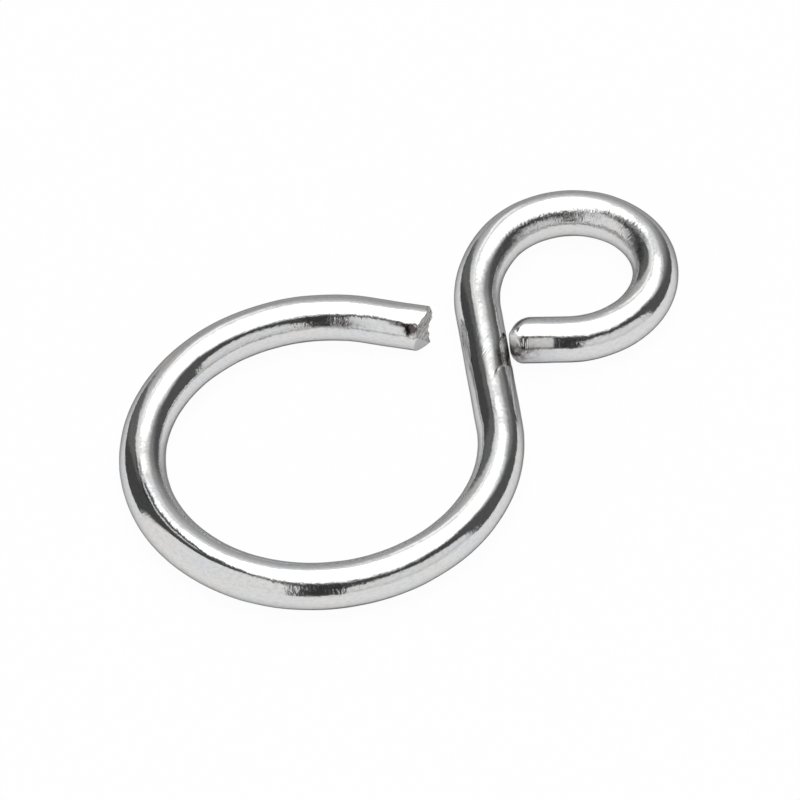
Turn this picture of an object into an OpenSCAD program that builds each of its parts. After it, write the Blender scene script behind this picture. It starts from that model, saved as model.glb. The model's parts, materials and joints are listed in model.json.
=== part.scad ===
// S hook bent from one length of plated round steel wire, lying flat.
// A large open loop and a small closed eye turn opposite ways off one straight shank.
// Millimetres. +X runs from the large loop to the eye, +Z is up off the surface it lies on,
// and the origin is the middle of the outline, on that surface.

/* [Wire] */
// Diameter of the round wire
wire_d = 4; // [3:0.1:5]

/* [Large loop] */
// Inside diameter of the large loop
hook_inner_d = 26.5; // [23:0.5:32]
// Turn of the large loop, from the shank round to its straight lead, in degrees
hook_bend = 292; // [284:1:298]
// Gap between the middle of the free end and the side of the shank
mouth_gap = 2.8; // [2:0.1:3.8]

/* [Shank] */
// Length of the straight stretch between the loops
shank_len = 13.5; // [11:0.5:20]

/* [Eye] */
// Inside diameter of the small eye
eye_inner_d = 10.8; // [9:0.1:14]
// Turn of the eye after its shoulder, in degrees
eye_bend = 240; // [232:1:244]
// Centreline radius of the easy shoulder where the shank runs into the eye
shoulder_r = 11.5; // [9:0.5:14]
// Turn of that shoulder, in degrees
shoulder_bend = 39; // [32:1:44]
// Gap left between the nose of the eye and the side of the shank
eye_gap = 0.1; // [0.05:0.05:0.4]

/* [Wire ends] */
// Radius of the rounding on the eye's nose
nose_round = 1.2; // [0.6:0.1:1.4]
// Lean of the sheared face on the large loop's free end, in degrees
shear_lean = 6; // [0:1:12]
// Length along the wire of the bevel that the shear left
bevel_len = 0.7; // [0.3:0.1:1.2]
// Depth of that bevel into the wire
bevel_depth = 0.9; // [0.3:0.1:1.2]

/* [Press mark] */
// Depth of the flat that the closing tool pressed into the shank beside the eye's nose
mark_depth = 0.1; // [0.05:0.05:0.3]
// Length of that flat along the shank
mark_len = 3.6; // [2.4:0.2:5]
// Distance of the flat's low end from the level of the nose, towards the large loop
mark_drop = 4.3; // [3.6:0.1:5]

/* [Hidden] */
// The wire is laid out in metres and scaled up at the end, so that each stretch meets the
// next without a step.
mm = 0.001;
wire_r = wire_d / 2 * mm;
hook_r = hook_inner_d / 2 * mm + wire_r;
eye_r = eye_inner_d / 2 * mm + wire_r;
neck_r = shoulder_r * mm;
corner_r = nose_round * mm;
// Side of the wire that each cut faces, in degrees round the wire from its left
shear_side = 46;
bevel_side = -44;
mark_side = 125;
// Side of a block that is big enough to cut the wire right through
block = 6 * wire_r;
// Extra turn that each bend is made with, before it is trimmed square to its end
spare = 3;
left = 1;
right = -1;

// The bends are laid out round the large loop's centre, with the shank along +Y at X = hook_r.
// A direction is an angle from +X, and each stretch starts where the last one ends.
function unit(a) = [cos(a), sin(a)];
shank_dir = 90;
lead_dir = shank_dir - hook_bend;
lead_end = hook_r * unit(-hook_bend);
lead_len = (hook_r - wire_r - mouth_gap * mm - lead_end.x) / -cos(lead_dir);
tip = lead_end - lead_len * unit(lead_dir);
neck_centre = [hook_r + neck_r, shank_len * mm];
eye_centre = neck_centre + (eye_r - neck_r) * unit(-shoulder_bend);
tail_dir = shank_dir - shoulder_bend - eye_bend;
tail_start = eye_centre + eye_r * unit(tail_dir + 90);
tail_len = (tail_start.x - hook_r - wire_r - eye_gap * mm) / -cos(tail_dir);
nose_y = tail_start.y + tail_len * sin(tail_dir);
mark_start = nose_y - mark_drop * mm;

// The layout is then turned so that both loop centres lie on X, and centred on its outline.
layout_turn = -atan2(eye_centre.y, eye_centre.x);
hook_centre_x = (hook_r - eye_r - norm(eye_centre)) / 2;

// Straight wire along +X. Whatever follows it is carried on from its far end.
module straight(length) {
    rotate([-90, 0, -90])
        cylinder(r = wire_r, h = length, $fn = 96);
    translate([length, 0, 0])
        children();
}

// The frame at the far end of a bend
module bend_end(r, turn, hand = left) {
    translate([0, hand * r, 0])
        rotate([0, 0, hand * turn])
            translate([0, -hand * r, 0])
                children();
}

// Wire bent to centreline radius r, running off along +X and turning left or right.
// Whatever follows it is carried on from its far end, in the new direction.
module bend(r, turn, hand) {
    rotate([hand == left ? 0 : 180, 0, 0])
        difference() {
            translate([0, r, 0])
                rotate([0, 0, -90])
                    rotate_extrude(angle = turn + spare, $fn = 180)
                        translate([r, 0])
                            circle(r = wire_r, $fn = 96);
            bend_end(r, turn)
                translate([0, -block / 2, -block / 2])
                    cube(block);
        }
    bend_end(r, turn, hand)
        children();
}

// Everything before a plane across +X, which leans back on one side and sits off the axis
module before_plane(side, lean, offset = 0) {
    rotate([side, 0, 0])
        translate([0, offset, 0])
            rotate([0, 0, -lean])
                translate([-block, -block / 2, -block / 2])
                    cube(block);
}

// The large loop's free end: sheared across, with a bevel on the side where the blade went in
module sheared_lead() {
    difference() {
        translate([-wire_r, 0, 0])
            straight(lead_len + wire_r);
        before_plane(shear_side, shear_lean);
        before_plane(bevel_side, atan2(bevel_len, bevel_depth), wire_r - bevel_depth * mm);
    }
    translate([lead_len, 0, 0])
        children();
}

// The shank, with the flat that the closing tool left beside the eye's nose
module marked_shank() {
    difference() {
        straight(shank_len * mm);
        rotate([mark_side, 0, 0])
            translate([mark_start, wire_r - mark_depth * mm, -wire_r])
                cube([mark_len * mm, wire_r, 2 * wire_r]);
    }
    translate([shank_len * mm, 0, 0])
        children();
}

// Round-cornered end of the wire: a disc with a quarter round about it
module nose() {
    rotate([0, 90, 0])
        rotate_extrude($fn = 96) {
            square([wire_r - corner_r, corner_r]);
            translate([wire_r - corner_r, 0])
                intersection() {
                    circle(r = corner_r, $fn = 96);
                    square(corner_r);
                }
        }
}

// The whole wire in one run, from the large loop's free end to the eye's nose
module wire() {
    sheared_lead()
        bend(hook_r, hook_bend, left)
            marked_shank()
                bend(neck_r, shoulder_bend, right)
                    bend(eye_r, eye_bend, right)
                        straight(tail_len - corner_r)
                            nose();
}

module s_hook() {
    color([0.80, 0.81, 0.83])
        scale(1 / mm)
            translate([hook_centre_x, 0, wire_r])
                rotate([0, 0, layout_turn])
                    translate([tip.x, tip.y, 0])
                        rotate([0, 0, lead_dir])
                            wire();
}

s_hook();
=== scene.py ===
# %% [markdown]
# # An S hook of bright plated wire
# The object is one length of round steel wire, bent cold into a large open loop and a small
# closed eye, and then plated. It has no parts, so its look comes from three things: how round
# and how slightly uneven the wire is, what its two cut ends look like, and what its mirror of
# a surface sees around it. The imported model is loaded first, because the wire made here has to
# lie where that model lies.

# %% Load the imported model
import json
import math

import bpy
import numpy as np
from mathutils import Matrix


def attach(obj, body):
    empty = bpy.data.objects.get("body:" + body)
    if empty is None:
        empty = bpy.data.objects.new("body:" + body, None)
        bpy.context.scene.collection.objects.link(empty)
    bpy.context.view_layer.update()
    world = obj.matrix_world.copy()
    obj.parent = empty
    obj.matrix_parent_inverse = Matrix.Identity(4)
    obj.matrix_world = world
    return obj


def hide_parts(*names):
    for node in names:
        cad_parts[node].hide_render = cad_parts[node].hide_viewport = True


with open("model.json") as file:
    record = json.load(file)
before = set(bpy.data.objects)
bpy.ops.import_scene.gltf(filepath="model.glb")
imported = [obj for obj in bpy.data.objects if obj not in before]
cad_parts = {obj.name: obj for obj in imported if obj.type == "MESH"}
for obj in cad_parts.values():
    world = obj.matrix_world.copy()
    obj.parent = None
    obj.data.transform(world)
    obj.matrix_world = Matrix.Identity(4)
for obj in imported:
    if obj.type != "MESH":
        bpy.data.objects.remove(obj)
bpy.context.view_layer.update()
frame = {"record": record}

MM = 0.001
mounts = {m["name"]: np.array(m["pos_m"]) for m in frame["record"]["mounts"]}

# %% [markdown]
# # The run of the wire
# The middle of the wire stays in one flat plane. It is a chain of straight stretches and arcs,
# each starting in the direction in which the last one ended. A Bezier curve could be drawn
# through it, but it only comes near an arc, and its points don't lie at equal distances. Here
# each stretch is a length and a curvature, so one formula gives the place and the direction at
# any distance along the wire, which the mesh, the marks and the texture all need.

# %% Sizes of the wire and its bends
WIRE_R = 2 * MM
HOOK_R = 15.25 * MM
EYE_R = 7.4 * MM
NECK_R = 11.5 * MM
SHANK_LEN = 13.5 * MM
MOUTH_GAP = 2.8 * MM
EYE_GAP = 0.1 * MM
HOOK_BEND = math.radians(292)
NECK_BEND = math.radians(39)
EYE_BEND = math.radians(240)


def unit(angle):
    """Unit vectors in the plane of the hook: (cosine, sine) of the angle from +X."""
    return np.stack([np.cos(angle), np.sin(angle)], axis=-1)


# %% The chain of stretches, from the large loop's free end to the eye's nose
# With the large loop's centre at zero and the shank along +Y at X = HOOK_R, each end stops its
# gap short of the shank's side. The layout is then turned until both centres lie on X.
lead_dir = math.pi / 2 - HOOK_BEND
lead_end = HOOK_R * unit(-HOOK_BEND)
lead_len = (HOOK_R - WIRE_R - MOUTH_GAP - lead_end[0]) / -math.cos(lead_dir)
eye_centre = np.array([HOOK_R + NECK_R, SHANK_LEN]) + (EYE_R - NECK_R) * unit(-NECK_BEND)
tail_dir = math.pi / 2 - NECK_BEND - EYE_BEND
tail_start = eye_centre + EYE_R * unit(tail_dir + math.pi / 2)
tail_len = (tail_start[0] - HOOK_R - WIRE_R - EYE_GAP) / -math.cos(tail_dir)
nose_y = tail_start[1] + tail_len * math.sin(tail_dir)
layout_turn = -math.atan2(eye_centre[1], eye_centre[0])

LENGTHS = np.array([lead_len, HOOK_R * HOOK_BEND, SHANK_LEN, NECK_R * NECK_BEND,
                    EYE_R * EYE_BEND, tail_len])
CURVES = np.array([0, 1 / HOOK_R, 0, -1 / NECK_R, -1 / EYE_R, 0])
KNOTS = np.concatenate([[0], np.cumsum(LENGTHS)])
HEADINGS = lead_dir + layout_turn + np.concatenate([[0], np.cumsum(LENGTHS * CURVES)])
WIRE_LEN = KNOTS[-1]
SHANK_START, EYE_START = KNOTS[2], KNOTS[4]


def chord(distance, curve, heading):
    """Step made along a stretch: the distance times sin(t) / t, with t half of the turn made,
    in the direction of the heading plus t."""
    half_turn = distance * curve / 2
    return (distance * np.sinc(half_turn / np.pi))[..., None] * unit(heading + half_turn)


tip = lead_end - lead_len * unit(lead_dir)
cosine, sine = unit(layout_turn)
turned_tip = np.array([cosine * tip[0] - sine * tip[1], sine * tip[0] + cosine * tip[1]])
steps = chord(LENGTHS, CURVES, HEADINGS[:-1])
STARTS = mounts["large_loop"][:2] + turned_tip + np.vstack([[0, 0], np.cumsum(steps, axis=0)])


def place(along, left, up):
    """Points in the frame for points given by their distance along the wire and their offsets
    to the left and up: the start of the stretch, plus the chord, plus the offsets."""
    i = np.clip(np.searchsorted(KNOTS, along, side="right") - 1, 0, len(LENGTHS) - 1)
    past = along - KNOTS[i]
    side = unit(HEADINGS[i] + past * CURVES[i] + np.pi / 2)
    flat = STARTS[i] + chord(past, CURVES[i], HEADINGS[i]) + left[..., None] * side
    return np.concatenate([flat, (WIRE_R + up)[..., None]], axis=-1)


print("wire length in mm:", round(WIRE_LEN / MM, 2))

# %% [markdown]
# # Camera
# The hook was photographed from far away through a long lens, so its two sides look almost
# parallel. A camera is easiest to set by where it looks from: a bearing round the object, a
# height in degrees, and a small roll. The distance follows from the lens and from how many
# pixels of the picture a millimetre of the hook takes.

# %% Camera
PHOTO_W = 800
BEARING, ELEVATION, ROLL = np.radians([-37.8, 47.91, -5.19])
AIM = np.array([-1.791, -0.418, 2.0]) * MM
FOCAL_PX = 9000
PX_PER_MM = 11.734
SENSOR_MM = 36

RIGHT = np.array([math.cos(BEARING), math.sin(BEARING), 0])
AWAY = np.array([-math.sin(BEARING), math.cos(BEARING), 0])
UP = np.array([0, 0, 1])
towards_camera = math.sin(ELEVATION) * UP - math.cos(ELEVATION) * AWAY
camera_x = math.cos(ROLL) * RIGHT + math.sin(ROLL) * np.cross(towards_camera, RIGHT)
camera_y = np.cross(towards_camera, camera_x)
camera_distance = FOCAL_PX / PX_PER_MM * MM

lens = bpy.data.cameras.new("camera")
lens.sensor_width = SENSOR_MM
lens.lens = FOCAL_PX * SENSOR_MM / PHOTO_W
lens.clip_start = 0.01
camera = bpy.data.objects.new("camera", lens)
stance = np.eye(4)
stance[:3, 0], stance[:3, 1], stance[:3, 2] = camera_x, camera_y, towards_camera
stance[:3, 3] = AIM + camera_distance * towards_camera
camera.matrix_world = stance.T.tolist()
bpy.context.scene.collection.objects.link(camera)
bpy.context.scene.camera = camera
bpy.context.scene.view_settings.view_transform = "Standard"
print("camera distance in mm:", round(camera_distance / MM), "lens:", lens.lens)

# %% [markdown]
# # Shader maths
# Nodes can be added one by one and linked by hand, but a mask of six Math nodes is then twenty
# lines that nobody can read. Here a small class wraps a socket and gives it arithmetic, so a
# mask is written as a formula, and one method adds every other kind of node.


# %% Shader helpers
class Value:
    """An output socket with arithmetic: each operation adds the Math node that works it out."""

    def __init__(self, shader, socket):
        self.shader = shader
        self.socket = socket

    def math(self, operation, *others):
        return self.shader.add("Math", {"operation": operation}, dict(enumerate((self, *others))))

    def __add__(self, other):
        return self.math("ADD", other)

    def __sub__(self, other):
        return self.math("SUBTRACT", other)

    def __mul__(self, other):
        return self.math("MULTIPLY", other)

    def __truediv__(self, other):
        return self.math("DIVIDE", other)

    def __rsub__(self, other):
        return self * -1 + other

    __radd__ = __add__
    __rmul__ = __mul__

    def absolute(self):
        """This value without its sign."""
        return self.math("ABSOLUTE")

    def at_least(self, least):
        """The larger of this value and the least one."""
        return self.math("MAXIMUM", least)

    def at_most(self, most):
        """The smaller of this value and the most one."""
        return self.math("MINIMUM", most)

    def rise(self, start, end):
        """0 at start and before it, 1 at end and past it, with a smooth step between them."""
        sockets = {"Value": self, "From Min": start, "From Max": end}
        return self.shader.add("MapRange", {"interpolation_type": "SMOOTHSTEP"}, sockets)

    def within(self, low, high, soft):
        """1 between low and high, 0 outside, with edges that are 2 * soft wide."""
        return self.rise(low - soft, low + soft) * (1 - self.rise(high - soft, high + soft))


class Shader:
    """A node tree that starts empty, with one method that adds any node."""

    def __init__(self, tree):
        self.tree = tree
        tree.nodes.clear()

    def add(self, kind, settings=None, sockets=None, output=0):
        """Adds a node, sets it up, fills its sockets with values or links, and gives an output."""
        node = self.tree.nodes.new("ShaderNode" + kind)
        for name, value in (settings or {}).items():
            setattr(node, name, value)
        for key, value in (sockets or {}).items():
            if isinstance(value, Value):
                self.tree.links.new(value.socket, node.inputs[key])
            else:
                node.inputs[key].default_value = value
        return Value(self, node.outputs[output]) if node.outputs else None

    def dot(self, vector, axis):
        """Length of a vector along an axis."""
        sockets = {0: vector, 1: tuple(axis)}
        return self.add("VectorMath", {"operation": "DOT_PRODUCT"}, sockets, output=1)


# %% [markdown]
# # The studio that the metal mirrors
# Bright metal has hardly a colour of its own: every band on it is a lamp, a card or the dark
# room, bent round the wire. Those bands say what stood round the hook: a large soft lamp
# overhead, pale upright cards to the left and right, a grey one beyond, and dark gaps between
# them, the widest to the left and the right of the grey card. Real lamps and card objects could
# be built, but what counts is only the direction each one is seen in, so the studio is drawn in
# the world shader. A bearing is measured round the hook from the direction straight away from
# the camera, and a height from the table up, both in degrees.

# %% Directions in the studio
world = bpy.data.worlds.new("studio")
world.use_nodes = True
bpy.context.scene.world = world
studio = Shader(world.node_tree)
ray = studio.add("TexCoord")
to_right, to_away, to_up = (studio.dot(ray, axis) for axis in (RIGHT, AWAY, UP))
bearing = to_right.math("ARCTAN2", to_away) * math.degrees(1)
height = to_up.math("ARCSINE") * math.degrees(1)
print("nodes that give a direction's bearing and height:", len(world.node_tree.nodes))

# %% Upright cards
# A card or lamp has a direction in front of it. The least share of a ray in that direction
# keeps the divisions away from zero.
LEAST_AHEAD = 0.02


def card(centre, half_width, top, sag, soft):
    """Mask of an upright card one unit away that faces the hook: inside its half width, and
    below a top edge that sags with the square of the distance from its middle."""
    angle = math.radians(centre)
    ahead = studio.dot(ray, math.cos(angle) * AWAY + math.sin(angle) * RIGHT)
    ahead = ahead.at_least(LEAST_AHEAD)
    side = studio.dot(ray, math.cos(angle) * RIGHT - math.sin(angle) * AWAY) / ahead
    top_edge = to_up / ahead + side * side * sag
    return side.within(-half_width, half_width, soft) * (1 - top_edge.rise(top - soft, top + soft))


def over(new, under, mask):
    """The new level where the mask is 1, and what is under it where the mask is 0."""
    return under + mask * (new - under)


# %% Dark room, and the grey card beyond the hook
# The room is dark, and to the right a little less so.
DARK_ROOM, DARK_RIGHT = 0.078, 0.108
sky = over(DARK_RIGHT, DARK_ROOM, bearing.within(40, 105, 10) * (1 - height.rise(45, 58)))

# The grey card beyond the hook brightens upwards, most of all where it comes near the lamp. Its
# right edge leans out from a certain height up, and its right part lies in shade.
EDGE_BEND, EDGE_LEAN = 12, 0.86
past_edge = bearing - (height - EDGE_BEND).at_least(0) * EDGE_LEAN
grey_card = (1 - past_edge.rise(32, 56)) * bearing.rise(-28, -22) * (1 - height.rise(47, 57))
GREY_FOOT = 0.48
near_lamp = 0.36 + 0.36 * bearing.rise(0, 40)
grey = GREY_FOOT + 0.12 * height.rise(12, 28) + near_lamp * height.rise(30, 45)
grey_shade = 0.34 * bearing.rise(10, 50)
sky = over(grey - grey_shade, sky, grey_card)

# A dim strip stands on the card's left, and a bright slit opens in it below the lamp.
DIM_STRIP, BRIGHT_SLIT = 0.165, 1.4
sky = over(DIM_STRIP, sky, bearing.within(-41, -25, 3) * height.within(4, 43, 5))
sky = over(BRIGHT_SLIT, sky, bearing.within(-11, -4, 3) * height.within(29, 46, 5))

print("levels of the dark room and of the grey card's foot:", DARK_ROOM, GREY_FOOT)

# %% Pale cards beside the camera
# The camera looks through the dark gap between them.
LEFT_CARD, RIGHT_CARD, RIGHT_DIMMER, CAMERA_GAP = 0.96, 0.88, 0.12, 0.042
right_card = card(centre=140, half_width=0.73, top=0.80, sag=0.29, soft=0.07)
left_card = card(centre=-117, half_width=0.93, top=1.80, sag=0.64, soft=0.06)
camera_gap = card(centre=-174.5, half_width=0.135, top=1.25, sag=0.0, soft=0.04)
sky = over(RIGHT_CARD - RIGHT_DIMMER * height.within(4, 12, 4), sky, right_card)
sky = over(LEFT_CARD, sky, left_card)
sky = over(CAMERA_GAP, sky, camera_gap * height.rise(6, 12))
print("levels of the left and the right card:", LEFT_CARD, RIGHT_CARD)

# %% Overhead lamp
# The lamp's outline is drawn on a level plane one unit above the hook, as a rounded square:
# where the powers of both distances from its middle add up to 1. Its far side is a little wider
# than its near side, because the lamp is tipped to the camera, and its edges differ in softness.
LAMP = 2.2
LAMP_LEFT, LAMP_MIDDLE = -0.382, 0.206
LAMP_WIDTH, LAMP_SPREAD, LAMP_DEPTH = 1.07, 0.16, 1.42
LAMP_POWER = 2.5
overhead = to_up.at_least(LEAST_AHEAD)
lamp_right, lamp_away = to_right / overhead, to_away / overhead
lamp_u = (lamp_right - LAMP_LEFT) * 2 / (lamp_away * LAMP_SPREAD + LAMP_WIDTH) - 1
lamp_v = (lamp_away - LAMP_MIDDLE) * 2 / LAMP_DEPTH
from_middle = (lamp_u.absolute().math("POWER", LAMP_POWER)
               + lamp_v.absolute().math("POWER", LAMP_POWER)).math("POWER", 1 / LAMP_POWER)
near_right, near, far = lamp_u - lamp_v * 0.5, lamp_v * -1, lamp_v
blur = 0.05 + 0.21 * near_right.rise(-0.4, 0.8)
blur = blur + 0.12 * near.rise(-0.5, 0.8) + 0.05 * far.rise(0.3, 1.0)
lamp = (1 - ((from_middle - 1) / blur).rise(-1, 1)) * height.rise(2, 6)
print("lamp width and depth as shares of its height:", LAMP_WIDTH, LAMP_DEPTH)

# %% Rail, lit rim and lamp, and the paper below
# On the far left a dark rail hangs below the lamp, and the rim of the lamp's cloth is lit.
RAIL, LIT_RIM = 0.035, 1.0
RAIL_HEIGHT, RAIL_BEARING, RAIL_TILT = 44, -38, 0.22
above_rail = height - RAIL_HEIGHT - (bearing - RAIL_BEARING) * RAIL_TILT
sky = over(RAIL, sky, bearing.within(-44, -9, 4) * above_rail.within(0, 5, 1.5))
sky = over(LIT_RIM, sky, bearing.within(-66, -22, 8) * from_middle.within(1.25, 1.36, 0.04))
sky = over(LAMP, sky, lamp)

# Below the table's edge the mirror finds pale paper, which turns grey beyond the hook.
PAPER, PAPER_GREYING = 1.05, 0.72
paper_level = PAPER - PAPER_GREYING * bearing.within(-32, 48, 14)
sky = over(paper_level, sky, 1 - height.rise(-3, 2))

# %% What the camera sees, and what lights the hook
WHITE = (1, 1, 1, 1)
seen_directly = studio.add("LightPath")
plain_white = studio.add("Background", None, {"Color": WHITE, "Strength": 1.0})
mirrored = studio.add("Background", None, {"Color": WHITE, "Strength": sky})
surroundings = studio.add("MixShader", None, {0: seen_directly, 1: mirrored, 2: plain_white})
studio.add("OutputWorld", None, {"Surface": surroundings})
print("studio nodes:", len(world.node_tree.nodes))

# %% [markdown]
# # Floor
# The hook lies on white paper that was lit until it left no trace in the picture. A plain white
# floor under the same lamp would show a broad grey shadow. So for camera rays the paper is
# mostly a strength-1 glow, and the rest of it is ordinary paper that keeps the shadow. In the
# metal it is half paper, because its shading near the wire does show there, and half open, so
# that the studio's own lower half decides how bright the paper looks from each side.

# %% Floor
FLOOR_HALF = 3.0
GLOW_SEEN, OPEN_MIRRORED = 0.955, 0.55
PAPER_WHITE = (0.96, 0.96, 0.96, 1)
corners = [(-FLOOR_HALF, -FLOOR_HALF, 0), (FLOOR_HALF, -FLOOR_HALF, 0),
           (FLOOR_HALF, FLOOR_HALF, 0), (-FLOOR_HALF, FLOOR_HALF, 0)]
sheet = bpy.data.meshes.new("floor")
sheet.from_pydata(corners, [], [(0, 1, 2, 3)])
floor = bpy.data.objects.new("floor", sheet)
bpy.context.scene.collection.objects.link(floor)

paper_material = bpy.data.materials.new("white_paper")
paper_material.use_nodes = True
paper = Shader(paper_material.node_tree)
# Of the Light Path node's outputs, 0 is Is Camera Ray and 3 is Is Glossy Ray.
camera_ray = paper.add("LightPath")
glossy_ray = paper.add("LightPath", output=3)
lit = paper.add("BsdfDiffuse", None, {"Color": PAPER_WHITE})
glow = paper.add("Emission", None, {"Color": WHITE, "Strength": 1.0})
seen = paper.add("MixShader", None, {0: camera_ray * GLOW_SEEN, 1: lit, 2: glow})
clear = paper.add("BsdfTransparent")
paper_surface = paper.add("MixShader", None, {0: glossy_ray * OPEN_MIRRORED, 1: seen, 2: clear})
paper.add("OutputMaterial", None, {"Surface": paper_surface})
sheet.materials.append(paper_material)
print("floor width in m:", 2 * FLOOR_HALF)

# %% [markdown]
# # Rings along the wire
# The wire is one grid: rings along it, and points round each ring. A tube could be swept by a
# curve's bevel, but its rings couldn't lie closer where a mark is small, and nothing could
# press into it. Rings lie 0.3 mm apart on the plain wire, and under a tenth of a millimetre
# near the cut end, the press mark and the nose.

# %% Grid of the wire
AROUND = 136
PLAIN_STEP, FINE_STEP = 0.3 * MM, 0.08 * MM
MARK_DROP, MARK_LEN = 4.3 * MM, 3.6 * MM
MARK_START = SHANK_START + nose_y - MARK_DROP
NOSE_ROUND = 1.2 * MM
FINE_ZONES = [(0.0, 2.6 * MM), (MARK_START + MARK_LEN / 2, 3.4 * MM), (WIRE_LEN, 4.5 * MM)]


def spread_rings(zones):
    """Distances of the rings: the density of rings is summed along the wire, and a ring is put
    at each whole number of that sum."""
    fine = np.linspace(0, WIRE_LEN, 20001)
    density = np.full_like(fine, 1 / PLAIN_STEP)
    for middle, reach in zones:
        density = np.maximum(density, np.exp(-((fine - middle) / reach) ** 4) / FINE_STEP)
    count = np.concatenate([[0], np.cumsum((density[1:] + density[:-1]) / 2 * np.diff(fine))])
    return np.interp(np.linspace(0, count[-1], int(count[-1])), count, fine)


ring_at = spread_rings(FINE_ZONES)
angle_at = np.linspace(-np.pi / 2, 3 * np.pi / 2, AROUND, endpoint=False)
S, T = np.meshgrid(ring_at, angle_at, indexing="ij")
print("rings:", len(ring_at), "points round each:", AROUND)

# %% [markdown]
# # Unevenness and marks
# Drawn and plated wire isn't a perfect cylinder. Its mirror shows a hundredth of a millimetre,
# so the bands on it wander and their edges wave. A noise texture in a bump map gives the finest
# of it, but a bump bends only the shading, so everything that is longer than a millimetre is
# real shape here: a sum of random waves, and marks pressed in at named places. A side of the
# wire is an angle in degrees round it: 0 is its left, seen along the wire, and 90 is its top.

# %% Waves and dents
rng = np.random.default_rng(7)


def waves(s, t, count, shortest, longest, lobes, slope):
    """Sum of cosines that run along and round the wire. Each has a random length, number of
    lobes and phase, and the height that gives it the wanted slope."""
    length = np.exp(rng.uniform(np.log(shortest), np.log(longest), count))[:, None, None]
    lobe = rng.integers(0, lobes + 1, count)[:, None, None]
    phase = rng.uniform(0, 2 * np.pi, count)[:, None, None]
    along = 2 * np.pi / length * rng.choice([-1, 1], count)[:, None, None]
    steepness = np.hypot(along, lobe / WIRE_R)
    return (np.cos(along * s + lobe * t + phase) * slope / steepness).sum(0) * np.sqrt(2 / count)


def off_side(t, side):
    """Degrees round the wire from a side to the angle t, between -180 and 180."""
    return (np.degrees(t) - side + 180) % 360 - 180


def facing(t, side, half_angle):
    """Bell round the wire, all along it: 1 at the side and 1 / e at the half angle."""
    return np.exp(-(off_side(t, side) / half_angle) ** 2)


def dent(s, t, at, half_length, side, half_angle, skew=0):
    """Smooth hollow, 1 at its middle: a bell along the wire times a bell round it. The skew
    moves it along by so much for each degree round."""
    away = (s - at - skew * off_side(t, side)) / half_length
    return np.exp(-away ** 2) * facing(t, side, half_angle)


def marks(s, t, places):
    """Sum of dents at named places. Each place gives a strength, and then what dent() takes:
    its middle along the wire, half length, side, half angle and, if it slants, skew."""
    return sum(strength * dent(s, t, *where) for strength, *where in places.values())


def smooth(x):
    """Smooth step from 0 at 0 to 1 at 1."""
    x = np.clip(x, 0, 1)
    return x * x * (3 - 2 * x)


# %% Wear
RUBBED = {
    "past the free end": (0.5, 8 * MM, 9 * MM, 30, 32),
    "near side of the large loop": (0.5, 58 * MM, 7 * MM, 132, 30),
    "before the nose": (0.5, WIRE_LEN - 6 * MM, 7 * MM, 42, 22),
    "beside the sheared face": (0.8, 0.6 * MM, 1.0 * MM, 40, 20),
    "press mark": (0.8, MARK_START + 1.5 * MM, 1.8 * MM, 136, 20),
}


def inside_eye(s):
    """1 along the eye's bend, with a smooth rise before it and a smooth fall after it."""
    past_eye = s - EYE_START
    return smooth(past_eye / (5 * MM) + 0.6) * smooth((22 * MM - past_eye) / (6 * MM))


def wear(s, t):
    """How worn and wrinkled the surface is: most inside the eye's bend, then on the places that
    rubbed along the bending tools, a little on the sides, and least on top."""
    sides = 0.2 * np.cos(t) ** 2
    in_bend = 0.8 * inside_eye(s) * facing(t, side=138, half_angle=36)
    return sides + in_bend + marks(s, t, RUBBED)


# %% Depth of everything pressed into the wire
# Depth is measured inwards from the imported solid's surface, and a least depth keeps the waves
# inside it.
MEAN_DEPTH, LEAST_DEPTH = 0.012 * MM, 0.001 * MM
uneven = waves(S, T, 40, 2.2 * MM, 14 * MM, 4, 0.009)
ripple = waves(S, T, 60, 0.9 * MM, 2.2 * MM, 7, 0.035)
depth = MEAN_DEPTH + uneven + ripple * wear(S, T)

# The low end of the press mark is a slanted step, and the mark runs out towards the eye.
PRESS_DEPTH, PRESS_SIDE, PRESS_HALF = 0.11 * MM, 142, 33
STEP_WIDTH, STEP_SIDE, STEP_SLANT = 0.16 * MM, 125, 0.022 * MM
past_step = S - MARK_START - (np.degrees(T) - STEP_SIDE) * STEP_SLANT
pressed = smooth(past_step / STEP_WIDTH) * (1 - smooth(past_step / MARK_LEN))
depth += PRESS_DEPTH * pressed * np.exp(-((np.degrees(T) - PRESS_SIDE) / PRESS_HALF) ** 4)

PRESSED_IN = {
    "nick below the press mark": (0.11 * MM, MARK_START - 0.65 * MM, 0.14 * MM, 106, 7, 0.05 * MM),
    "groove in the press mark": (0.03 * MM, MARK_START + 1.4 * MM, 1.5 * MM, 133, 3.2),
    "dent behind the free end": (0.07 * MM, 0.5 * MM, 0.4 * MM, 38, 14),
    "top drawn down towards the cut": (0.12 * MM, 0.5 * MM, 1.3 * MM, 80, 27),
    "flattened top of the eye's bend": (0.09 * MM, EYE_START + 7 * MM, 9 * MM, 99, 27),
}
depth += marks(S, T, PRESSED_IN)
radius = WIRE_R - np.maximum(depth, LEAST_DEPTH)
Y, Z = radius * np.cos(T), radius * np.sin(T)
print("deepest mark in mm:", round(float(depth.max() / MM), 3))

# %% [markdown]
# # The sheared end
# The large loop's free end was cut by a shear. Such a cut is never flat: the blade first bevels
# the wire, then the rest tears off and leaves a rough face with streaks across it, a lip where
# the two meet and a corner drawn out at the top. A flat disc with a texture would miss the
# broken outline, so the face is a height field over the wire's section, and the grid's rows run
# on over it to its middle.

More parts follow.
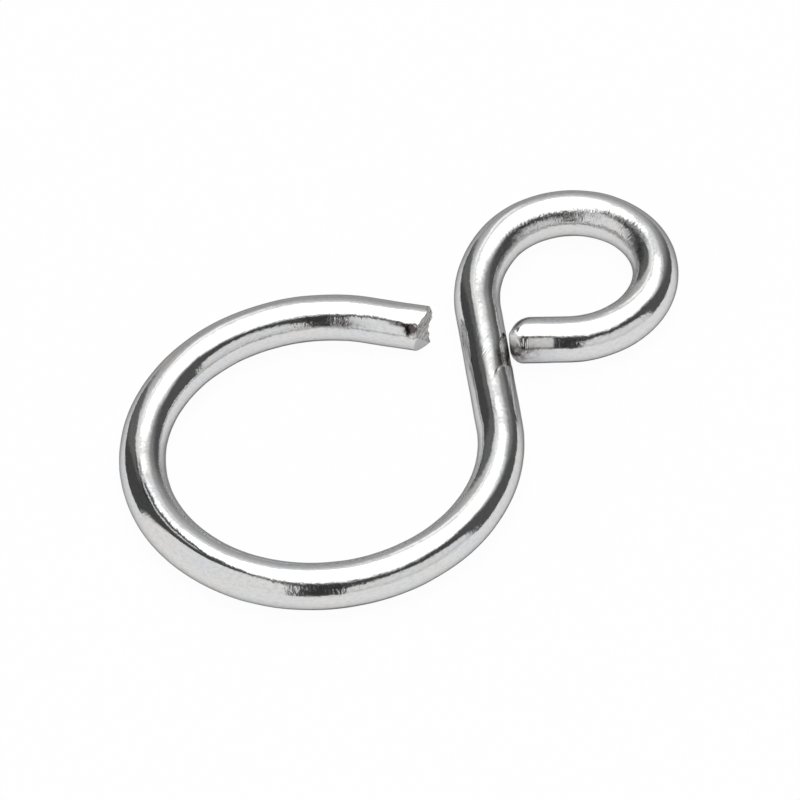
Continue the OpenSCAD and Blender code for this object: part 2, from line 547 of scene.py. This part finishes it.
# %% Height of the sheared face
SHEAR_SIDE, SHEAR_LEAN = math.radians(46), math.radians(6)
BEVEL_SIDE, BEVEL_START, BEVEL_SLOPE = math.radians(-38), 1.0 * MM, 0.62
BEVEL_BLEND = 0.12 * MM
LIP_HEIGHT, LIP_FADE, LIP_WIDTH = 0.07 * MM, 0.02, 0.16 * MM
CORNER_HEIGHT, CORNER_AT, CORNER_REACH = 0.32 * MM, (-0.2 * MM, 2.0 * MM), 0.8 * MM
NOTCH_DEPTH, NOTCH_AT, NOTCH_REACH = 0.36 * MM, (-1.3 * MM, -1.2 * MM), 0.68 * MM
STREAK_TILT, STREAK_SLOPE = 0.23, 0.04
STREAKS = 10
streak_pitch = rng.uniform(0.28, 0.8, (STREAKS, 1, 1)) * MM
streak_length = rng.uniform(1.6, 4.0, (STREAKS, 1, 1)) * MM
streak_phase = rng.uniform(0, 2 * np.pi, (2, STREAKS, 1, 1))


def streaks(y, z):
    """Rough streaks that rise a little to the left: cosines across them, each of which fades in
    and out along them."""
    across = z * math.cos(STREAK_TILT) - y * math.sin(STREAK_TILT)
    waves_across = np.cos(2 * np.pi * across / streak_pitch + streak_phase[0])
    fading = np.cos(2 * np.pi * y / streak_length + streak_phase[1])
    return (waves_across * fading * streak_pitch * STREAK_SLOPE).sum(0)


def mound(y, z, centre, reach):
    """Round bell on the face: exp(-(distance from the centre / reach) squared)."""
    return np.exp(-((y - centre[0]) ** 2 + (z - centre[1]) ** 2) / reach ** 2)


def sheared_face(y, z):
    """How far back the face lies: the leaning plane with its drawn-out corner, streaks and
    notch, up to the lip where the bevel starts, and from there the bevel's slope. Also gives
    how torn it is: 1 on the rough face and 0 on the bevel."""
    plane = (y * math.cos(SHEAR_SIDE) + z * math.sin(SHEAR_SIDE)) * math.tan(SHEAR_LEAN)
    plane = plane - CORNER_HEIGHT * mound(y, z, CORNER_AT, CORNER_REACH)
    outward = y * math.cos(BEVEL_SIDE) + z * math.sin(BEVEL_SIDE) - BEVEL_START
    across = z * math.cos(BEVEL_SIDE) - y * math.sin(BEVEL_SIDE)
    lip = LIP_HEIGHT - LIP_FADE * across
    notch = NOTCH_DEPTH * mound(y, z, NOTCH_AT, NOTCH_REACH)
    torn = plane + notch + streaks(y, z) - lip * np.exp(np.minimum(outward, 0) / LIP_WIDTH)
    bevel = plane - lip + BEVEL_SLOPE * np.maximum(outward, 0)
    blend = smooth(outward / BEVEL_BLEND + 0.5)
    return torn * (1 - blend) + bevel * blend, 1 - blend


# %% Rows over the sheared face
# The rim of the wire stands a little behind the face's own edge, which rounds that edge off.
FACE_ROWS = 33
RIM_IN, RIM_BACK = 0.05 * MM, 0.04 * MM
LEAD_SETTLES = 2.6 * MM
face_share = np.linspace(0, 1, FACE_ROWS + 1)[1:]
rim_share = 1 - RIM_IN / WIRE_R
face_y = face_share[:, None] * rim_share * Y[0]
face_z = face_share[:, None] * rim_share * Z[0]
face_x, torn = sheared_face(face_y, face_z)
rim_x = sheared_face(Y[:1], Z[:1])[0] + RIM_BACK
body_x = S + rim_x * (1 - smooth(S / LEAD_SETTLES))
nearest, furthest = float(face_x.min() / MM), float(face_x.max() / MM)
print("face runs from", round(nearest, 2), "to", round(furthest, 2), "mm")

# %% [markdown]
# # The nose of the eye
# The eye's end was rounded, so that it can be pressed against the shank without a burr. It
# could be the plain disc with a quarter round that the CAD has. But the corner is wider along
# the top and the far side, where tumbling before plating wore it most, and sharper towards the
# camera, so its radius changes round the wire. Two narrow collars and a pit are cut into it.

# %% Corner of the nose
WORN_ROUND, WORN_SIDE, WORN_HALF = 0.8 * MM, 128, 62
SHARP_ROUND, SHARP_SIDE, SHARP_HALF = 0.65 * MM, 66, 24
CLOSING_ROWS, CORNER_ROWS, FLAT_ROWS = 12, 33, 7
corner_angle = np.radians(np.linspace(0, 90, CORNER_ROWS))[:, None]
corner = NOSE_ROUND + WORN_ROUND * facing(angle_at, WORN_SIDE, WORN_HALF)
corner = corner - SHARP_ROUND * facing(angle_at, SHARP_SIDE, SHARP_HALF)
corner_x = WIRE_LEN - corner + corner * np.sin(corner_angle)
corner_share = 1 - corner / WIRE_R * (1 - np.cos(corner_angle))
print("nose corner in mm: from", round(corner.min() / MM, 2), "to", round(corner.max() / MM, 2))

# %% Rows over the nose
# The plain rings end where the widest corner could start, and a few rows close the distance.
CORNER_MARGIN = 0.02 * MM
NOSE_MARKS = {
    "front collar": (0.04 * MM, WIRE_LEN - 1.25 * MM, 0.07 * MM, 44, 13),
    "back collar": (0.04 * MM, WIRE_LEN - 1.62 * MM, 0.06 * MM, 38, 15),
    "pit": (0.07 * MM, WIRE_LEN - 0.75 * MM, 0.16 * MM, 74, 6),
}
NOSE_LEAN, LEAN_SIDE, LEAN_REACH = 0.08 * MM, math.radians(-30), 2 * MM
flat_share = np.linspace(1, 0, FLAT_ROWS + 2)[1:-1, None]
body_rows = int((ring_at < WIRE_LEN - (NOSE_ROUND + WORN_ROUND) - CORNER_MARGIN).sum())
last_ring = ring_at[body_rows - 1]
closing = np.linspace(0, 1, CLOSING_ROWS + 2)[1:-1, None]
straight_x = last_ring + (WIRE_LEN - corner - last_ring) * closing
nose_x = np.vstack([straight_x, corner_x, np.full((FLAT_ROWS, AROUND), WIRE_LEN)])
share = np.vstack([np.ones_like(straight_x), corner_share, flat_share * corner_share[-1]])
nose_angle = np.broadcast_to(angle_at, nose_x.shape)
nose_radius = share * radius[body_rows - 1] - marks(nose_x, nose_angle, NOSE_MARKS)
nose_left = nose_radius * np.cos(angle_at)
nose_up = nose_radius * np.sin(angle_at)
lean = NOSE_LEAN * (1 + np.cos(angle_at - LEAN_SIDE) * share)
nose_x = nose_x - lean * smooth((nose_x - WIRE_LEN + LEAN_REACH) / LEAN_REACH)
print("rows over the nose:", len(nose_x))

# %% Mesh of the wire
along = np.vstack([face_x, body_x[:body_rows], nose_x])
left = np.vstack([face_y, Y[:body_rows], nose_left])
up = np.vstack([face_z, Z[:body_rows], nose_up])
rows = len(along)
centre, middles = np.zeros((1, 1)), np.zeros(2)
middles_x = np.array([sheared_face(centre, centre)[0].item(), WIRE_LEN - NOSE_LEAN])
points = np.vstack([place(along, left, up).reshape(-1, 3), place(middles_x, middles, middles)])

number = np.arange(rows * AROUND).reshape(rows, AROUND)
beside = np.roll(number, -1, axis=1)
quads = np.stack([number[:-1], number[1:], beside[1:], beside[:-1]], axis=-1).reshape(-1, 4)
first_fan = np.stack([np.full(AROUND, rows * AROUND), number[0], beside[0]], axis=-1)
last_fan = np.stack([np.full(AROUND, rows * AROUND + 1), beside[-1], number[-1]], axis=-1)
mesh = bpy.data.meshes.new("wire")
mesh.from_pydata(points.tolist(), [], quads.tolist() + first_fan.tolist() + last_fan.tolist())
mesh.polygons.foreach_set("use_smooth", np.ones(len(mesh.polygons), bool))
print("triangles:", 2 * len(quads) + 2 * AROUND)

# %% Map of the surface: distance along the wire, and distance round it, in millimetres
POINT_STEP = 2 * np.pi * WIRE_R / AROUND
around = np.broadcast_to(np.arange(AROUND), (rows, AROUND)) * POINT_STEP
around_next = np.hstack([around[:, 1:], around[:, -1:] + POINT_STEP])
along_next = np.roll(along, -1, axis=1)
here, beyond = np.stack([along, around], -1), np.stack([along_next, around_next], -1)
quad_map = np.stack([here[:-1], here[1:], beyond[1:], beyond[:-1]], axis=2)
fan_map = np.zeros((2 * AROUND, 3, 2))
fan_map[:AROUND, :, 0], fan_map[AROUND:, :, 0] = 0, WIRE_LEN
fan_map[:AROUND, 1:, 1] = np.stack([around[0], around_next[0]], -1)
fan_map[AROUND:, 1:, 1] = np.stack([around_next[0], around[0]], -1)
surface_map = mesh.uv_layers.new(name="surface")
flat_map = np.concatenate([quad_map.ravel(), fan_map.ravel()]) / MM
surface_map.data.foreach_set("uv", flat_map.astype(np.float32))

wire = bpy.data.objects.new("wire", mesh)
bpy.context.scene.collection.objects.link(wire)
print("mapped corners:", len(flat_map) // 2)

# %% [markdown]
# # Where the surface is torn, wrinkled, scratched, dull, stained and painted with shade
# Six masks are worked out on the same grid and kept as attributes of the mesh: the torn face,
# the wrinkled and rubbed sides, the comb of fine wrinkles inside the eye, the scratches on the
# shank, the dull places on the nose, and the brownish stains that plating leaves, together with
# painted shade in the dent behind the free end and along the inside of the eye's bend. Painting
# them in the shader would take a node for each place. On the grid a place is one line.


# %% Masks
def keep(name, values, ends=(0.0, 0.0)):
    """Stores one number for each point of the wire, with the two middles of the ends last."""
    attribute = mesh.attributes.new(name, "FLOAT", "POINT")
    attribute.data.foreach_set("value", np.concatenate([values.ravel(), ends]).astype(np.float32))
    print(name, "covers", round(100 * float(values.mean()), 1), "% of the points")


angle = np.broadcast_to(angle_at, along.shape)
is_face = np.zeros_like(along)
is_face[:FACE_ROWS] = torn
keep("torn", is_face, (1.0, 0.0))
keep("wrinkled", wear(along, angle))
keep("combed", inside_eye(along) * facing(angle, 132, 24))
keep("scuffed", dent(along, angle, SHANK_START + 8.2 * MM, 3.2 * MM, 82, 26))

# %% Dull places, stains and painted shade
# The nose is dull on its front, and on a patch before it that the closing tool rubbed.
PATCH_START, PATCH_END, PATCH_EDGE = WIRE_LEN - 4.0 * MM, WIRE_LEN - 1.7 * MM, 0.15 * MM
PATCH_SIDE, PATCH_HALF = 41, 14
FRONT_START, FRONT_EDGE = WIRE_LEN - 1.4 * MM, 1.0 * MM
patch = smooth((along - PATCH_START) / PATCH_EDGE) * smooth((PATCH_END - along) / PATCH_EDGE)
patch = patch * np.exp(-((np.degrees(angle) - PATCH_SIDE) / PATCH_HALF) ** 4)
front = smooth((along - FRONT_START) / FRONT_EDGE) * facing(angle, 46, 32)
keep("dull", 0.8 * patch + 0.95 * front, (0.0, 0.5))

# Brownish stains, kept together with painted shade: the dent behind the free end and a band inside
# the eye's bend are painted dark where shade falls.
STAINS_AND_SHADE = {
    # Painted shade in the dent behind the free end, dark brown.
    "dent behind the free end": (2.2, 0.78 * MM, 0.46 * MM, 41, 12),
    "streak that leaves that dent": (1.3, 1.6 * MM, 0.9 * MM, 49, 5, 0.03 * MM),
    "past the free end": (0.6, 6.6 * MM, 1.4 * MM, 34, 12),
    "near side of the large loop": (0.25, 57.5 * MM, 2.2 * MM, 116, 12),
    "upper edge of the press mark": (0.9, MARK_START + 1.2 * MM, 1.1 * MM, 120, 8),
    "lower edge of the press mark": (0.9, MARK_START + 1.2 * MM, 1.2 * MM, 150, 10),
    # The next four entries are painted shade: a dark band along the inside of the eye's bend.
    "start of the eye, broad": (0.3, EYE_START + 4 * MM, 5 * MM, 130, 17),
    "start of the eye, narrow": (0.35, EYE_START + 3.2 * MM, 4.6 * MM, 136, 10),
    "slanting in the eye's middle": (0.5, EYE_START + 12.4 * MM, 1.8 * MM, 113, 9, -0.2 * MM),
    "end of the eye": (0.55, EYE_START + 17.4 * MM, 2.4 * MM, 129, 14),
    "line above the dull patch": (1.0, WIRE_LEN - 2.9 * MM, 1.5 * MM, 55, 3),
    "left side of the nose": (0.4, WIRE_LEN - 1.2 * MM, 1.9 * MM, 12, 34),
    "corner of the nose": (0.6, WIRE_LEN - 0.5 * MM, 0.9 * MM, 4, 26),
}
keep("stained_and_shaded", marks(along, angle, STAINS_AND_SHADE))

# %% [markdown]
# # Plating
# The finish is thin bright plating over wire that wasn't polished first, so it mirrors sharply
# but keeps every drawing line, scuff and pit of the steel. It could be a plain mirror with a
# roughness, which looks like chromed plastic. Instead the roughness stays low, and fine heights
# bend the mirror: long lines along the wire, short wrinkles across it where the masks say, and
# crossing scratches on top of the shank. The colour is a grey that drifts between warm and
# cool, with dark freckles, stains where the masks say, and painted shade: the scratch lines,
# the dent behind the free end and a band along the inside of the eye's bend are painted darker.
# Torn and dull places are paler and rougher, and the dull ones mirror less.

# %% Plated metal: patterns
material = bpy.data.materials.new("plated_wire")
material.use_nodes = True
plating = Shader(material.node_tree)
surface = plating.add("UVMap", {"uv_map": "surface"})
torn_mask, wrinkle_mask, comb_mask, scuff_mask, dull_mask, stain_and_shade_mask = (
    plating.add("Attribute", {"attribute_name": name}, output=2)
    for name in ("torn", "wrinkled", "combed", "scuffed", "dull", "stained_and_shaded"))


def grain(length, width, detail=2.0, turned=0):
    """Noise from -0.5 to 0.5 with grains so many millimetres long and wide, which are turned
    so many degrees away from the wire."""
    rotation = (0, 0, math.radians(turned))
    sockets = {"Vector": surface, "Rotation": rotation, "Scale": (length, width, 1)}
    vector = plating.add("Mapping", {"vector_type": "TEXTURE"}, sockets)
    return plating.add("TexNoise", None, {"Vector": vector, "Scale": 1.0, "Detail": detail}) - 0.5


def mixed(share, first, second):
    """The first colour where the share is 0, and the second where it is 1. The Mix node keeps
    its colours in sockets 6 and 7 and in output 2."""
    sockets = {0: share, 6: first, 7: second}
    return plating.add("Mix", {"data_type": "RGBA"}, sockets, output=2)


# Streaks on the torn face lie in its plane, so they are placed by Object coordinates, which are
# the node's output 3, and not by the map.
STREAK_WIDE, STREAK_LONG = 0.2 * MM, 1.8 * MM
left_of_face = np.append(unit(HEADINGS[0] + np.pi / 2), 0)
across_streaks = math.cos(STREAK_TILT) * UP - math.sin(STREAK_TILT) * left_of_face
along_streaks = math.sin(STREAK_TILT) * UP + math.cos(STREAK_TILT) * left_of_face
position = plating.add("TexCoord", output=3)
streak_axes = {0: plating.dot(position, across_streaks / STREAK_WIDE),
               1: plating.dot(position, along_streaks / STREAK_LONG)}
streak_place = plating.add("CombineXYZ", None, streak_axes)
streaked = plating.add("TexNoise", None, {"Vector": streak_place, "Scale": 1.0, "Detail": 2.0}) - 0.5
scratches = grain(1.5, 0.09, 2.0, turned=40)
smudges = grain(0.4, 0.4, 3.0)

# %% Plated metal: fine heights in millimetres, and roughness
drawing_lines = grain(9.0, 0.10) * 0.0018
orange_peel = grain(0.9, 0.9) * 0.012
wrinkles = grain(0.25, 0.34, 3.0) * wrinkle_mask * 0.035
comb = grain(0.16, 0.5, 3.0) * comb_mask * 0.038
scratching = scratches * scuff_mask * 0.02
frosting = grain(0.22, 0.22, 3.0) * (torn_mask + dull_mask) * 0.04
tearing = streaked * torn_mask * 0.16
pores = grain(0.10, 0.10) * 0.002 + grain(0.3, 0.25, 3.0) * 0.003
heights = drawing_lines + orange_peel + wrinkles + comb
heights = heights + scratching + frosting + tearing + pores
bump = plating.add("Bump", None, {"Height": heights, "Distance": MM, "Strength": 1.0})

clouds = 0.05 * grain(2.5, 1.2, 3.0)
specks = 0.07 * grain(0.5, 0.3, 4.0).rise(0.02, 0.2)
roughness = 0.065 + clouds + specks
roughness = roughness + 0.18 * torn_mask + 0.35 * dull_mask + 0.05 * wrinkle_mask

# %% Plated metal: colour
# The dark brown below serves the freckles and the stains, and also the painted shade in the dent,
# inside the eye's bend and in the scratch lines.
PALE, STAIN_AND_SHADE = (0.90, 0.89, 0.87, 1), (0.06, 0.046, 0.04, 1)
WARM, COOL = (0.71, 0.70, 0.687, 1), (0.689, 0.698, 0.712, 1)
EDGE_TINT = (0.5, 0.5, 0.51, 1)
MOST_STAIN_AND_SHADE = 0.93
tint = mixed(grain(5, 2.5) * 2.5 + 0.5, COOL, WARM)
clean = mixed((torn_mask + dull_mask).at_most(1), tint, PALE)
freckles = grain(0.42, 0.26, 4.0).rise(-0.12, 0.22) * 0.11
freckled = mixed(freckles, clean, STAIN_AND_SHADE)
# The scratch lines are also painted darker here: painted shade for the light that they mirror away.
scratch_lines_shaded = mixed(scratches.rise(0.08, 0.16) * scuff_mask * 0.4, freckled, STAIN_AND_SHADE)
# Share of stains and painted shade from the masks, plus dark streaks on the torn face.
stain_and_shade_share = stain_and_shade_mask * (0.85 + 2.4 * smudges) + streaked.rise(0.0, 0.12) * torn_mask * 0.5
colour = mixed(stain_and_shade_share.at_most(MOST_STAIN_AND_SHADE).at_least(0), scratch_lines_shaded, STAIN_AND_SHADE)
dulled = (dull_mask * (1.0 + 1.2 * smudges)).at_most(1).at_least(0)
metal = plating.add("BsdfPrincipled", None, {"Base Color": colour, "Metallic": 1 - 0.8 * dulled,
                                             "Specular Tint": EDGE_TINT,
                                             "Roughness": roughness, "Normal": bump})
plating.add("OutputMaterial", None, {"Surface": metal})
mesh.materials.append(material)
print("plating nodes:", len(material.node_tree.nodes))

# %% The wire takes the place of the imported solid
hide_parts("s_hook")
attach(wire, "root")
